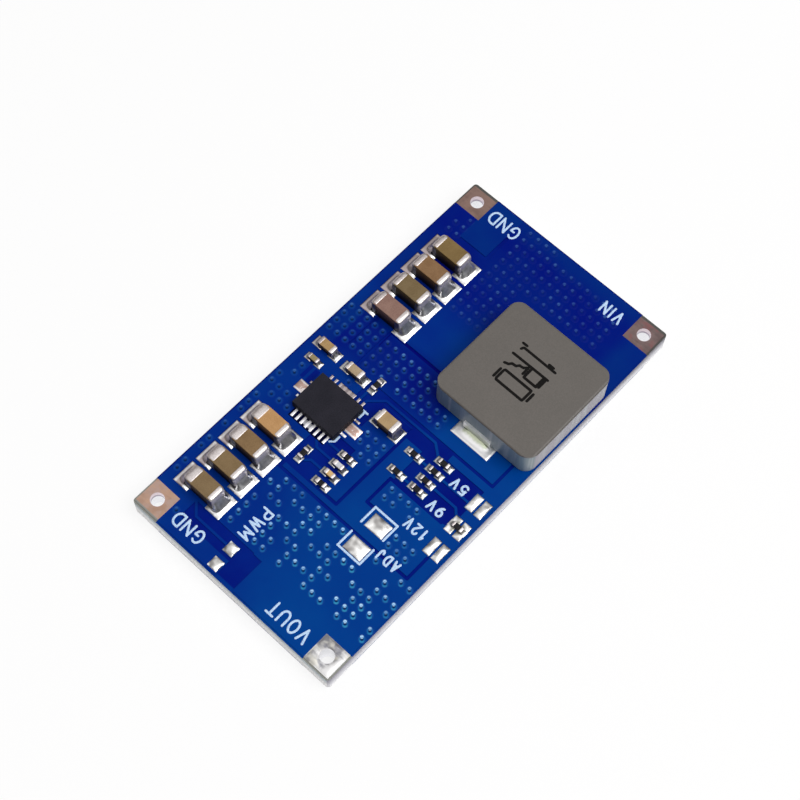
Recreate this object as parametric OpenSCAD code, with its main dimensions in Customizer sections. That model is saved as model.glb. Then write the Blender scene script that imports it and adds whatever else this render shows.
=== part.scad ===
// Boost converter module: a two-layer board with plated corner terminals, ceramic chips,
// a leadless controller and a pressed-block inductor. The output end is at -X, the input end at +X.
// Millimetres, +Z up, origin at the middle of the underside.

/* [Board] */
// Length of the board
board_l = 40.2; // [36.2:0.5:60.2]
// Width of the board
board_w = 21.2; // [18.7:0.5:32.2]
// Thickness over both masks
board_t = 2; // [0.8:0.1:3.2]
// Radius of the board's corners
corner_r = 0.3; // [0.25:0.05:0.8]
// Thickness of one copper layer
copper_t = 0.07; // [0.035:0.005:0.14]
// Thickness of one mask layer over copper
mask_t = 0.03; // [0.02:0.005:0.06]
// How far the mask runs down beside a copper edge
mask_side = 0.05; // [0.03:0.01:0.08]
// Bare margin between the copper and the board's edge
copper_inset = 0.2; // [0.1:0.05:0.4]

/* [Terminals] */
// Side of a square terminal land
land_side = 2.5; // [2:0.1:3]
// Bare margin between a land and the board's edge
land_inset = 0.15; // [0.05:0.05:0.3]
// Radius of a finished terminal hole
hole_r = 0.575; // [0.4:0.025:0.8]
// Distance from a hole's axis to both board edges
hole_edge = 1.4; // [1.3:0.05:1.6]
// Wall of the plated barrel
plating_t = 0.05; // [0.03:0.01:0.1]

/* [Copper] */
// Step of the routing grid
route_step = 0.1; // [0.1:0.01:0.11]
// Origin of the routing grid, from both end edges
route_end = 20.1; // [19.6:0.1:20.6]
// Origin of the routing grid, from the ground edge
route_side = 10.6; // [10.1:0.1:11.1]
// Width of the gaps between the pours
gap_w = 0.38; // [0.3:0.02:0.44]
// Width of the traces
trace_w = 0.12; // [0.1:0.01:0.3]
// Drill diameter of a via
via_d = 0.36; // [0.3:0.02:0.44]
// Pitch of the via rows and columns
via_pitch = 0.88; // [0.8:0.01:0.9]

/* [Solder] */
// Thickness of the solder film on a pad
film_t = 0.05; // [0.03:0.01:0.1]
// Share of a chip's height that the solder climbs
fillet_rise = 0.55; // [0.3:0.05:0.8]
// Crown of the solder on an open pad
pillow_h = 0.16; // [0.08:0.02:0.3]

/* [Large capacitors] */
// Length of a large capacitor
cap_l = 3.2; // [3:0.1:3.4]
// Width of a large capacitor
cap_w = 1.6; // [1.2:0.1:1.8]
// Height of a large capacitor
cap_h = 1.6; // [1:0.1:2]
// Length of a metal end
cap_end_l = 0.5; // [0.3:0.05:0.7]
// Pad beyond the end of the capacitor
cap_toe = 0.93; // [0.6:0.05:0.95]
// Pad beyond the side of the capacitor
cap_side = 0.28; // [0.1:0.02:0.3]
// Number of capacitors in each bank
cap_count = 4; // [1:1:4]
// Pitch of the capacitors in a bank
cap_pitch = 2.45; // [2.4:0.01:2.5]
// Outermost output capacitor, from the output edge
out_cap_x = 4.51; // [4.1:0.05:4.7]
// Outermost input capacitor, from the input edge
in_cap_x = 7.07; // [6.7:0.05:7.3]
// Centre of both banks, from the ground edge
cap_y = 3.55; // [3.3:0.05:3.7]
// Thickness of the metal on a capacitor end
wrap_t = 0.03; // [0.02:0.005:0.05]
// Rounding of a large capacitor's edges
cap_r = 0.14; // [0.08:0.02:0.2]

/* [Controller] */
// Width of the controller, along the board
ic_w = 3.5; // [3.4:0.1:3.6]
// Length of the controller, across the board
ic_d = 4.5; // [4.4:0.1:4.6]
// Height of the controller
ic_h = 0.9; // [0.7:0.05:1.2]
// Pitch of the lands
ic_pitch = 0.5; // [0.48:0.01:0.52]
// Lands on each long side
ic_count = 8; // [4:1:8]
// Width of a land
ic_land_w = 0.25; // [0.2:0.01:0.3]
// Length of a land under the body
ic_land_l = 0.4; // [0.3:0.05:0.5]
// Height of a land
ic_land_h = 0.2; // [0.1:0.02:0.3]
// Pad beyond a long side
ic_toe = 0.7; // [0.4:0.05:0.75]
// Pad beyond a short side
ic_end_toe = 0.38; // [0.2:0.02:0.45]
// Spacing of the two lands on a short side
ic_end_pitch = 1.6; // [1.5:0.05:1.8]
// Width of the heat land
heat_w = 1; // [0.8:0.05:1.1]
// Heat land beyond a short side
heat_toe = 1.2; // [0.8:0.05:1.3]
// Controller's centre, along the board from the routing grid's origin
ic_x = -3.95; // [-4.1:0.05:-3.8]
// Controller's centre, across the board from the routing grid's origin
ic_y = 4.95; // [4.8:0.05:5]

/* [Inductor] */
// Length of the inductor's block, along the board
ind_l = 10.4; // [10:0.1:10.8]
// Width of the inductor's block, across the board
ind_w = 10.3; // [9.9:0.1:10.4]
// Height of the inductor's block
ind_h = 2.8; // [2.4:0.1:5]
// Radius of the block's upright corners
ind_r = 1.2; // [0.5:0.1:2]
// Rounding of the block's top rim
ind_rim_r = 0.2; // [0.1:0.05:0.4]
// Inductor's centre, along the board from the routing grid's origin
ind_x = 7.75; // [7.5:0.05:8]
// Board left between the inductor and the wire edge
ind_edge = 0.1; // [0:0.05:0.3]
// Thickness of a terminal strip
clip_t = 0.2; // [0.1:0.05:0.3]
// Width of a terminal strip
clip_w = 2.8; // [2:0.1:3.2]
// Height of a terminal strip on the block's wall
clip_h = 0.95; // [0.7:0.05:1.3]
// Length of a terminal's foot under the block
clip_foot = 2; // [1.2:0.1:2.4]
// Pad beyond the block's wall
ind_toe = 1.15; // [0.8:0.05:1.2]
// Width of an inductor pad
ind_pad_w = 3.9; // [3.4:0.1:4.4]
// Outer radius of the winding
coil_r = 4; // [3.6:0.1:4.3]
// Radial depth of the winding
coil_depth = 1.6; // [1:0.1:2]
// Height of the winding
coil_h = 1.5; // [1:0.1:1.6]

/* [Small chips] */
// Length of the smallest chips
tiny_l = 1; // [0.9:0.05:1.1]
// Width of the smallest chips
tiny_w = 0.5; // [0.4:0.02:0.56]
// Height of the smallest capacitors
tiny_h = 0.5; // [0.3:0.02:0.6]
// Height of the resistors
res_h = 0.36; // [0.28:0.02:0.5]
// Metal end of the smallest chips
tiny_end_l = 0.24; // [0.18:0.02:0.3]
// Pad beyond the end of the smallest chips
tiny_toe = 0.37; // [0.2:0.02:0.4]
// Length of the middle chips
mid_l = 1.6; // [1.5:0.05:1.7]
// Width and height of the middle chips
mid_w = 0.8; // [0.7:0.05:0.9]
// Metal end of the middle chips
mid_end_l = 0.34; // [0.25:0.02:0.4]
// Pad beyond the end of the middle chips
mid_toe = 0.58; // [0.4:0.02:0.62]
// Length of the bulk chip
bulk_l = 2; // [1.9:0.05:2.1]
// Width and height of the bulk chip
bulk_w = 1.2; // [1:0.05:1.3]
// Metal end of the bulk chip
bulk_end_l = 0.42; // [0.3:0.02:0.5]
// Pad beyond the end of the bulk chip
bulk_toe = 0.5; // [0.3:0.02:0.6]
// Rounding of a small chip's edges
small_r = 0.07; // [0.06:0.01:0.1]
// Pad beyond the side of a small chip
small_side = 0.08; // [0.04:0.02:0.12]
// Pad under a chip past its metal end
pad_heel = 0.1; // [0.05:0.01:0.14]

/* [Open pads] */
// Length of the two adjust pads, along the board
adj_l = 1.4; // [1.2:0.05:1.6]
// Width of the two adjust pads, across the board
adj_w = 1.85; // [1.6:0.05:2]
// Spacing of the two adjust pads
adj_pitch = 2.44; // [2.2:0.02:2.6]
// Length of the voltage option pads
option_l = 1.6; // [1.4:0.05:1.7]
// Width of the voltage option pads
option_w = 0.74; // [0.6:0.02:0.78]
// Spacing of the two pads of an option
option_gap = 0.9; // [0.84:0.02:0.94]
// Spacing of the three options
option_pitch = 2.46; // [2.4:0.02:2.5]
// Lower option pads, from the wire edge
option_y = 0.7; // [0.65:0.02:0.76]
// Side of the two control pads
control_side = 1; // [0.8:0.05:1.1]
// Spacing of the two control pads
control_pitch = 1.65; // [1.5:0.05:1.8]

/* [Hidden] */
$fn = 24;
steps = 6;
z_laminate = mask_t + copper_t;
z_copper = board_t - mask_t - copper_t;
z_pad = board_t - mask_t;
z_seat = z_pad + film_t;
land_at = [board_l / 2 - land_inset - land_side / 2, board_w / 2 - land_inset - land_side / 2];
hole_at = [board_l / 2 - hole_edge, board_w / 2 - hole_edge];
cap_row_y = board_w / 2 - cap_y;
out_at = [route_end - board_l / 2, board_w / 2 - route_side];
in_at = [board_l / 2 - route_end, board_w / 2 - route_side];
ic_at = out_at + [ic_x, ic_y];
ind_at = [out_at[0] + ind_x, ind_edge + ind_w / 2 - board_w / 2];

// Chip sizes: length, width, height, metal end, toe and side margin of the pad, rounding
large = [cap_l, cap_w, cap_h, cap_end_l, cap_toe, cap_side, cap_r];
bulk = [bulk_l, bulk_w, bulk_w, bulk_end_l, bulk_toe, small_side, small_r];
mid = [mid_l, mid_w, mid_w, mid_end_l, mid_toe, small_side, small_r];
tiny = [tiny_l, tiny_w, tiny_h, tiny_end_l, tiny_toe, small_side, small_r];
res = [tiny_l, tiny_w, res_h, tiny_end_l, tiny_toe, small_side, small_r];

// Small chips: place in routing steps from the output end, turn about Z, size
small_caps = [
  [-16, 88, 90, tiny], [-1, 87, 90, mid], [-2, 55, 90, mid],
  [-18, 4, 90, bulk], [-80, 8.5, 90, tiny], [-70, 8.5, 90, tiny]
];
resistors = [
  [2, 35, 0, res], [-81, 36.5, 0, res], [-90, 8.5, 90, res], [-60, 8.5, 90, res],
  [-42, -28, 90, res], [-21.5, -28, 90, res], [-42, -50, 90, res], [-32, -50, 90, res],
  [-21.5, -50, 90, res], [-11.5, -51, 90, res]
];
option_x = [for (i = [-1 : 1]) out_at[0] - 4.37 + i * option_pitch];
option_row_y = [option_y - board_w / 2, option_y + option_gap - board_w / 2];
adj_at = out_at + [-9.7, -4.87];
control_at = [1.63 - board_l / 2, out_at[1] + 2.1];

// Copper gaps and traces as runs of points, and bare laminate as boxes, in routing steps
out_gaps = [
  [[-101, 44], [-101, -94], [-77, -94]], [[-101, 43], [-62, 43]], [[-94, 43], [-94, -12], [-7, -12]],
  [[-76, -36], [-76, -28], [-49, -28], [-49, -82]], [[1, 40], [1, -91], [25, -91]],
  [[15, 83], [15, 77], [50, 77]], [[5, 60], [46, 60], [46, 5]]
];
in_gaps = [[[151, 80], [151, 50], [177, 50]]];
traces = [
  [[-17, 32], [-13, 32], [-1.9, 20.1], [-1.9, -33], [-10.5, -44]], [[-32, -57], [-32, -82], [-37, -87]],
  [[-22, -57], [-22, -88]], [[-21.5, -33], [-21.5, -45]], [[-42, -33], [-42, -45]],
  [[-60, 33], [-60, 14]], [[-62, 37], [-65.6, 37], [-69.5, 33], [-69.5, 14]],
  [[-84, 35], [-84, 32], [-80.5, 28.5], [-80.5, 14]], [[-17, 37], [-6, 37]],
  [[-176, 24], [-176, 60], [-165, 71]]
];
bare = [
  [-185, 5, -166, 70], [-201.5, -4, -167, 15.5], [-95, 3, -63, 43.4], [-64.5, 5, -56, 40],
  [-58, 8, -50, 30], [-49.3, -90, -6.5, -30], [-15.5, -51, 1, -11], [-6, -13, 1, 21], [-33, 19, 1, 42.5]
];

// Via fields: first via in routing steps, then one string per row, 1 where there is a via
out_vias = [
  [-159.5, 39, ["1111010", "0000111", "0000101", "1111011", "1101010", "0011111", "1110111", "0101001",
    "0101101", "1111100", "1010100", "1000100", "0101001", "1111000", "1111110", "0010101", "1101101"]],
  [-157.5, 100.5, ["11011010111011"]],
  [-61, 92, ["11011", "11000", "10000"]],
  [-51, 11.5, ["011", "111", "111"]],
  [-64, -35.5, ["11", "11", "01", "11"]],
  [-91, -65, ["11", "11", "11"]],
  [10, 55, ["1111", "1111", "1111", "0111", "1111", "1111", "1111", "1100", "1100", "1100"]],
  [15, 100.5, ["1111", "1111", "1111", "1111", "1111"]],
  [-183, 75, ["1"]],
  [-11, 54, ["1"]]
];
in_vias = [
  [97.5, 38, ["111111111111", "111111111111", "111111111111", "111111111111", "000000111110",
    "000000111110", "000000111110", "000000111110", "000000111110", "000000111110", "000000111110",
    "000000111110", "000000111110"]],
  [151, 92, ["110", "111"]]
];

// Rectangle with round corners, about the origin
module round_rect(l, w, r) {
  square([l - 2 * r, w], center = true);
  square([l, w - 2 * r], center = true);
  for (sx = [-1, 1], sy = [-1, 1])
    translate([sx * (l / 2 - r), sy * (w / 2 - r)])
      circle(r);
}

// Block with all its edges rounded, standing on the XY plane
module round_block(l, w, h, r) {
  intersection() {
    linear_extrude(h)
      round_rect(l, w, r);
    translate([0, 0, h / 2])
      rotate([90, 0, 0])
        linear_extrude(2 * w, center = true)
          round_rect(l, h, r);
    translate([0, 0, h / 2])
      rotate([90, 0, 90])
        linear_extrude(2 * l, center = true)
          round_rect(w, h, r);
  }
}

// Line of a given width with round ends through a run of points
module run_2d(points, w) {
  for (i = [0 : len(points) - 2]) {
    a = points[i];
    b = points[i + 1];
    translate(a)
      rotate(atan2(b[1] - a[1], b[0] - a[0]))
        translate([0, -w / 2])
          square([norm(b - a), w]);
  }
  for (p = points)
    translate(p)
      circle(d = w);
}

// Outline of the board, drawn in by a margin
module board_2d(inset = 0) {
  round_rect(board_l - 2 * inset, board_w - 2 * inset, max(corner_r - inset, mask_side));
}

module at_corners(place) {
  for (sx = [-1, 1], sy = [-1, 1])
    translate([sx * place[0], sy * place[1]])
      children();
}

// Windows in the copper and the mask at the terminals, open to the board's edges
module windows_2d() {
  at_corners(land_at + [land_inset, land_inset])
    square(land_side + 2 * land_inset, center = true);
}

// The two pads of a chip lying along X
module chip_pads_2d(size, extra = 0) {
  pad_l = size[4] + size[3] + pad_heel;
  for (s = [-1, 1])
    translate([s * (size[0] / 2 + size[4] - pad_l / 2), 0])
      square([pad_l + 2 * extra, size[1] + 2 * size[5] + 2 * extra], center = true);
}

module at_out_cap(i) {
  translate([out_cap_x - board_l / 2 + (i - 1) * cap_pitch, cap_row_y, 0])
    rotate(90)
      children();
}

module at_in_cap(i) {
  translate([board_l / 2 - in_cap_x - (i - 1) * cap_pitch, cap_row_y, 0])
    rotate(90)
      children();
}

module at_chip(chip) {
  translate([out_at[0] + chip[0] * route_step, out_at[1] + chip[1] * route_step, 0])
    rotate(chip[2])
      children();
}

module at_option_link() {
  translate([option_x[1], (option_row_y[0] + option_row_y[1]) / 2, 0])
    rotate(90)
      children();
}

// Pads of the controller: long sides, short sides, joined lands and the heat land
module controller_pads_2d(extra = 0) {
  grow = 2 * extra;
  span = (ic_count - 1) * ic_pitch;
  translate(ic_at) {
    for (s = [-1, 1], i = [0 : ic_count - 1])
      translate([s * (ic_w / 2 + (ic_toe - ic_land_l) / 2), i * ic_pitch - span / 2])
        square([ic_toe + ic_land_l + grow, ic_land_w + grow], center = true);
    for (sx = [-1, 1], sy = [-1, 1])
      translate([sx * ic_end_pitch / 2, sy * (ic_d / 2 + (ic_end_toe - ic_land_l) / 2)])
        square([ic_land_w + grow, ic_end_toe + ic_land_l + grow], center = true);
    translate([ic_w / 2 + ic_toe / 2, 0])
      square([ic_toe + grow, 3 * ic_pitch + ic_land_w + grow], center = true);
    translate([-ic_w / 2 - ic_toe * 0.6, ic_pitch / 2])
      square([ic_toe * 0.4 + grow, 2 * ic_pitch + grow], center = true);
    square([heat_w + grow, ic_d + 2 * heat_toe + grow], center = true);
  }
}

// The two pads of the inductor, each from its toe to the end of the foot
module inductor_pads_2d(extra = 0) {
  pad_l = ind_toe + clip_foot;
  for (s = [-1, 1])
    translate([ind_at[0] + s * (ind_l / 2 + ind_toe - pad_l / 2), ind_at[1]])
      square([pad_l + 2 * extra, ind_pad_w + 2 * extra], center = true);
}

module at_adjust_pads() {
  for (s = [-1, 1])
    translate([adj_at[0] + s * adj_pitch / 2, adj_at[1]])
      children();
}

module at_option_pads() {
  for (x = option_x, y = option_row_y)
    translate([x, y])
      children();
}

module at_control_pads() {
  for (s = [-1, 1])
    translate([control_at[0] + s * control_pitch / 2, control_at[1]])
      children();
}

// Every pad that the mask leaves open, grown on all sides by a margin
module pads_2d(extra = 0) {
  for (i = [1 : cap_count]) {
    at_out_cap(i)
      chip_pads_2d(large, extra);
    at_in_cap(i)
      chip_pads_2d(large, extra);
  }
  for (chip = concat(small_caps, resistors))
    at_chip(chip)
      chip_pads_2d(chip[3], extra);
  controller_pads_2d(extra);
  inductor_pads_2d(extra);
  at_adjust_pads()
    square([adj_l + 2 * extra, adj_w + 2 * extra], center = true);
  at_option_pads()
    square([option_l + 2 * extra, option_w + 2 * extra], center = true);
  at_control_pads()
    square(control_side + 2 * extra, center = true);
}

module vias_2d(fields, d) {
  for (field = fields)
    for (row = [0 : len(field[2]) - 1], col = [0 : len(field[2][row]) - 1])
      if (field[2][row][col] == "1")
        translate([field[0] * route_step + col * via_pitch, field[1] * route_step - row * via_pitch])
          circle(d = d);
}

// What is etched out of the top copper, drawn in by a margin
module etched_2d(extra) {
  translate(out_at) {
    for (points = out_gaps)
      run_2d(points * route_step, gap_w - 2 * extra);
    for (box = bare * route_step)
      translate([box[0] + extra, box[1] + extra])
        square([box[2] - box[0] - 2 * extra, box[3] - box[1] - 2 * extra]);
  }
  translate(in_at)
    for (points = in_gaps)
      run_2d(points * route_step, gap_w - 2 * extra);
}

// Top copper, grown on all sides by a margin
module copper_top_2d(extra = 0) {
  difference() {
    board_2d(copper_inset - extra);
    difference() {
      etched_2d(extra);
      translate(out_at)
        for (points = traces)
          run_2d(points * route_step, trace_w + 2 * extra);
      pads_2d(extra);
    }
    translate(out_at)
      vias_2d(out_vias, via_d - 2 * extra);
    translate(in_at)
      vias_2d(in_vias, via_d - 2 * extra);
    windows_2d();
  }
}

module laminate() {
  color([0.80, 0.81, 0.78])
    translate([0, 0, z_laminate])
      difference() {
        linear_extrude(z_copper - z_laminate)
          board_2d();
        at_corners(hole_at)
          translate([0, 0, -1])
            cylinder(r = hole_r + plating_t, h = board_t + 2);
      }
}

module copper_top() {
  color([0.75, 0.48, 0.30])
    translate([0, 0, z_copper])
      linear_extrude(copper_t)
        copper_top_2d();
}

module mask_top() {
  color([0.02, 0.18, 0.52])
    translate([0, 0, z_copper])
      difference() {
        union() {
          linear_extrude(mask_t)
            board_2d();
          linear_extrude(copper_t + mask_t)
            copper_top_2d(mask_side);
        }
        linear_extrude(copper_t)
          copper_top_2d();
        linear_extrude(2 * board_t, center = true) {
          pads_2d();
          windows_2d();
        }
      }
}

module copper_bottom() {
  color([0.75, 0.48, 0.30])
    translate([0, 0, mask_t])
      linear_extrude(copper_t)
        difference() {
          board_2d(copper_inset);
          windows_2d();
        }
}

module mask_bottom() {
  color([0.02, 0.18, 0.52])
    difference() {
      linear_extrude(z_laminate)
        board_2d();
      translate([0, 0, mask_t])
        linear_extrude(copper_t)
          board_2d(copper_inset);
      linear_extrude(2 * board_t, center = true)
        windows_2d();
    }
}

// Plated terminal: a land on each face joined by a barrel, in the corner (sx, sy)
module terminal(sx, sy) {
  difference() {
    union() {
      for (z = [0, z_copper])
        translate([sx * land_at[0], sy * land_at[1], z])
          linear_extrude(z_laminate)
            square(land_side, center = true);
      translate([sx * hole_at[0], sy * hole_at[1], 0])
        cylinder(r = hole_r + plating_t, h = board_t);
    }
    translate([sx * hole_at[0], sy * hole_at[1], -1])
      cylinder(r = hole_r, h = board_t + 2);
  }
}

module terminal_gnd_out() {
  color([0.68, 0.56, 0.50])
    terminal(-1, 1);
}

module terminal_vout() {
  color([0.80, 0.80, 0.80])
    terminal(-1, -1);
}

module terminal_gnd_in() {
  color([0.50, 0.42, 0.38])
    terminal(1, 1);
}

module terminal_vin() {
  color([0.48, 0.40, 0.37])
    terminal(1, -1);
}

module at_inductor() {
  translate([ind_at[0], ind_at[1], z_seat])
    children();
}

module winding_form() {
  translate([0, 0, ind_h / 2 - coil_h / 2])
    difference() {
      cylinder(r = coil_r, h = coil_h, $fn = 48);
      translate([0, 0, -1])
        cylinder(r = coil_r - coil_depth, h = coil_h + 2, $fn = 48);
    }
}

// Side view of a terminal strip on the wall at x = 0: foot, round bend, upright and tongue
module clip_2d() {
  square([clip_foot, clip_t]);
  intersection() {
    translate([0, clip_t])
      circle(clip_t);
    translate([-clip_t, 0])
      square(clip_t);
  }
  translate([-clip_t, clip_t])
    square([clip_t, clip_h - clip_t]);
  translate([-clip_t, clip_h - clip_t])
    square([ind_l / 2 - coil_r + coil_depth / 2, clip_t]);
}

// A strip on each of two walls; its tongue ends on the winding
module clips() {
  for (turn = [0, 180])
    rotate(turn)
      difference() {
        translate([-ind_l / 2, 0, 0])
          rotate([90, 0, 0])
            linear_extrude(clip_w, center = true)
              clip_2d();
        translate([0, 0, ind_h / 2 - coil_h / 2])
          cylinder(r = coil_r, h = coil_h, $fn = 48);
      }
}

module inductor_core() {
  color([0.43, 0.41, 0.385])
    at_inductor()
      difference() {
        intersection() {
          linear_extrude(ind_h)
            round_rect(ind_l, ind_w, ind_r);
          translate([0, 0, ind_h / 2])
            rotate([90, 0, 0])
              linear_extrude(2 * ind_w, center = true)
                round_rect(ind_l, ind_h, ind_rim_r);
          translate([0, 0, ind_h / 2])
            rotate([90, 0, 90])
              linear_extrude(2 * ind_l, center = true)
                round_rect(ind_w, ind_h, ind_rim_r);
        }
        winding_form();
        clips();
      }
}

module inductor_winding() {
  color([0.72, 0.45, 0.25])
    at_inductor()
      winding_form();
}

module inductor_terminals() {
  color([0.78, 0.78, 0.76])
    at_inductor()
      clips();
}

// Lands of the controller: two long rows, two pairs on the short sides, and the heat land
module controller_land_blocks() {
  span = (ic_count - 1) * ic_pitch;
  for (s = [-1, 1], i = [0 : ic_count - 1])
    translate([s * (ic_w / 2 - ic_land_l / 2), i * ic_pitch - span / 2, ic_land_h / 2])
      cube([ic_land_l, ic_land_w, ic_land_h], center = true);
  for (sx = [-1, 1], sy = [-1, 1])
    translate([sx * ic_end_pitch / 2, sy * (ic_d / 2 - ic_land_l / 2), ic_land_h / 2])
      cube([ic_land_w, ic_land_l, ic_land_h], center = true);
  translate([0, 0, ic_land_h / 2])
    cube([heat_w, ic_d - 2 * ic_land_l, ic_land_h], center = true);
}

module controller_body() {
  dot_in = 0.4;
  dot_r = 0.15;
  color([0.13, 0.13, 0.16])
    translate([ic_at[0], ic_at[1], z_seat])
      difference() {
        translate([0, 0, ic_h / 2])
          cube([ic_w, ic_d, ic_h], center = true);
        controller_land_blocks();
        translate([ic_w / 2 - dot_in, dot_in - ic_d / 2, ic_h - mask_t])
          cylinder(r = dot_r, h = 1);
      }
}

module controller_lands() {
  color([0.80, 0.80, 0.80])
    translate([ic_at[0], ic_at[1], z_seat])
      controller_land_blocks();
}

// Ceramic or resistive body of a chip, lying along X inside its metal ends
module chip_body(size) {
  translate([0, 0, z_seat + wrap_t])
    round_block(size[0] - 2 * wrap_t, size[1] - 2 * wrap_t, size[2] - 2 * wrap_t, size[6] - wrap_t);
}

// The two metal cups on the ends of a chip
module chip_ends(size) {
  difference() {
    translate([0, 0, z_seat])
      round_block(size[0], size[1], size[2], size[6]);
    cube([size[0] - 2 * size[3], 2 * size[1], 4 * (z_seat + size[2])], center = true);
    chip_body(size);
  }
}

// Hollow-curved wedge from a wall of height rise down to a toe at distance run, on a film of solder
module fillet_2d(run, rise) {
  chord = norm([run, rise]);
  half = 0.9 * min(atan2(run, rise), atan2(rise, run));
  bulge = chord * tan(half / 2) / 2;
  arc_r = chord / 2 / sin(half);
  middle = [run / 2, rise / 2] + (arc_r - bulge) * [rise, run] / chord;
  first = atan2(-middle[1], run - middle[0]);
  last = atan2(rise - middle[1], -middle[0]);
  turn = (last - first + 540) % 360 - 180;
  polygon(concat([[0, -film_t], [run, -film_t]], [for (i = [0 : steps])
    middle + arc_r * [cos(first + turn * i / steps), sin(first + turn * i / steps)]]));
}

// Solder of a chip along X: a film on both pads and a fillet up each end
module chip_solder(size) {
  translate([0, 0, z_pad])
    linear_extrude(film_t)
      chip_pads_2d(size);
  for (turn = [0, 180])
    rotate(turn)
      translate([size[0] / 2, 0, z_seat])
        rotate([90, 0, 0])
          linear_extrude(size[1], center = true)
            fillet_2d(size[4] * 0.9, size[2] * fillet_rise);
}

// Section of crowned solder on an open pad of length l
module crown_2d(l) {
  arc_r = (l * l / 4 + pillow_h * pillow_h) / pillow_h / 2;
  half = asin(l / 2 / arc_r);
  polygon(concat([[-l / 2, 0], [l / 2, 0]], [for (i = [0 : steps])
    let (a = half - 2 * half * i / steps)
      [arc_r * sin(a), film_t + pillow_h - arc_r + arc_r * cos(a)]]));
}

// Crowned solder on a rectangular open pad about the origin
module pillow(l, w) {
  translate([0, 0, z_pad])
    intersection() {
      rotate([90, 0, 0])
        linear_extrude(w, center = true)
          crown_2d(l);
      rotate([90, 0, 90])
        linear_extrude(l, center = true)
          crown_2d(w);
    }
}

module output_cap_body(i) {
  color(i < cap_count ? [0.48, 0.40, 0.28] : [0.70, 0.54, 0.36])
    at_out_cap(i)
      chip_body(large);
}

module output_cap_ends(i) {
  color([0.78, 0.76, 0.75])
    at_out_cap(i)
      chip_ends(large);
}

module input_cap_body(i) {
  color([0.47, 0.38, 0.26])
    at_in_cap(i)
      chip_body(large);
}

module input_cap_ends(i) {
  color([0.78, 0.76, 0.75])
    at_in_cap(i)
      chip_ends(large);
}

module small_cap_body(i) {
  color([0.62, 0.52, 0.40])
    at_chip(small_caps[i - 1])
      chip_body(small_caps[i - 1][3]);
}

// The last resistor links the middle voltage option
module resistor_body(i) {
  color([0.10, 0.10, 0.11])
    if (i > len(resistors))
      at_option_link()
        chip_body(res);
    else
      at_chip(resistors[i - 1])
        chip_body(resistors[i - 1][3]);
}

module small_cap_ends() {
  color([0.80, 0.79, 0.77])
    for (chip = small_caps)
      at_chip(chip)
        chip_ends(chip[3]);
}

module resistor_ends() {
  color([0.80, 0.80, 0.80]) {
    for (chip = resistors)
      at_chip(chip)
        chip_ends(chip[3]);
    at_option_link()
      chip_ends(res);
  }
}

module solder_output_caps() {
  color([0.84, 0.84, 0.85])
    for (i = [1 : cap_count])
      at_out_cap(i)
        chip_solder(large);
}

module solder_input_caps() {
  color([0.84, 0.84, 0.85])
    for (i = [1 : cap_count])
      at_in_cap(i)
        chip_solder(large);
}

module solder_small_caps() {
  color([0.84, 0.84, 0.85])
    for (chip = small_caps)
      at_chip(chip)
        chip_solder(chip[3]);
}

module solder_resistors() {
  color([0.84, 0.84, 0.85])
    for (chip = resistors)
      at_chip(chip)
        chip_solder(chip[3]);
}

module solder_controller() {
  color([0.84, 0.84, 0.85])
    translate([0, 0, z_pad])
      linear_extrude(film_t)
        controller_pads_2d();
}

// Film on both inductor pads and a fillet up each upright strip
module solder_inductor() {
  color([0.84, 0.84, 0.85]) {
    translate([0, 0, z_pad])
      linear_extrude(film_t)
        inductor_pads_2d();
    at_inductor()
      for (turn = [0, 180])
        rotate(turn)
          translate([ind_l / 2 + clip_t, 0, 0])
            rotate([90, 0, 0])
              linear_extrude(clip_w, center = true)
                fillet_2d((ind_toe - clip_t) * 0.9, clip_h * fillet_rise);
  }
}

// Crowned solder on the adjust, option and control pads; the linked option carries a film
module solder_pads() {
  color([0.84, 0.84, 0.85]) {
    at_adjust_pads()
      pillow(adj_l, adj_w);
    for (i = [0, 2], y = option_row_y)
      translate([option_x[i], y])
        pillow(option_l, option_w);
    for (y = option_row_y)
      translate([option_x[1] - option_l / 2, y - option_w / 2, z_pad])
        cube([option_l, option_w, film_t]);
    at_control_pads()
      pillow(control_side, control_side);
  }
}

laminate();
copper_top();
mask_top();
copper_bottom();
mask_bottom();
terminal_gnd_out();
terminal_vout();
terminal_gnd_in();
terminal_vin();
inductor_core();
inductor_winding();
inductor_terminals();
controller_body();
controller_lands();
for (i = [1 : cap_count]) {
  output_cap_body(i);
  output_cap_ends(i);
  input_cap_body(i);
  input_cap_ends(i);
}
for (i = [1 : len(small_caps)])
  small_cap_body(i);
for (i = [1 : len(resistors) + 1])
  resistor_body(i);
small_cap_ends();
resistor_ends();
solder_output_caps();
solder_input_caps();
solder_small_caps();
solder_resistors();
solder_controller();
solder_inductor();
solder_pads();
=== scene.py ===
from collections import namedtuple
import bmesh
import bpy
import numpy as np
from mathutils import Matrix, Vector


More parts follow.
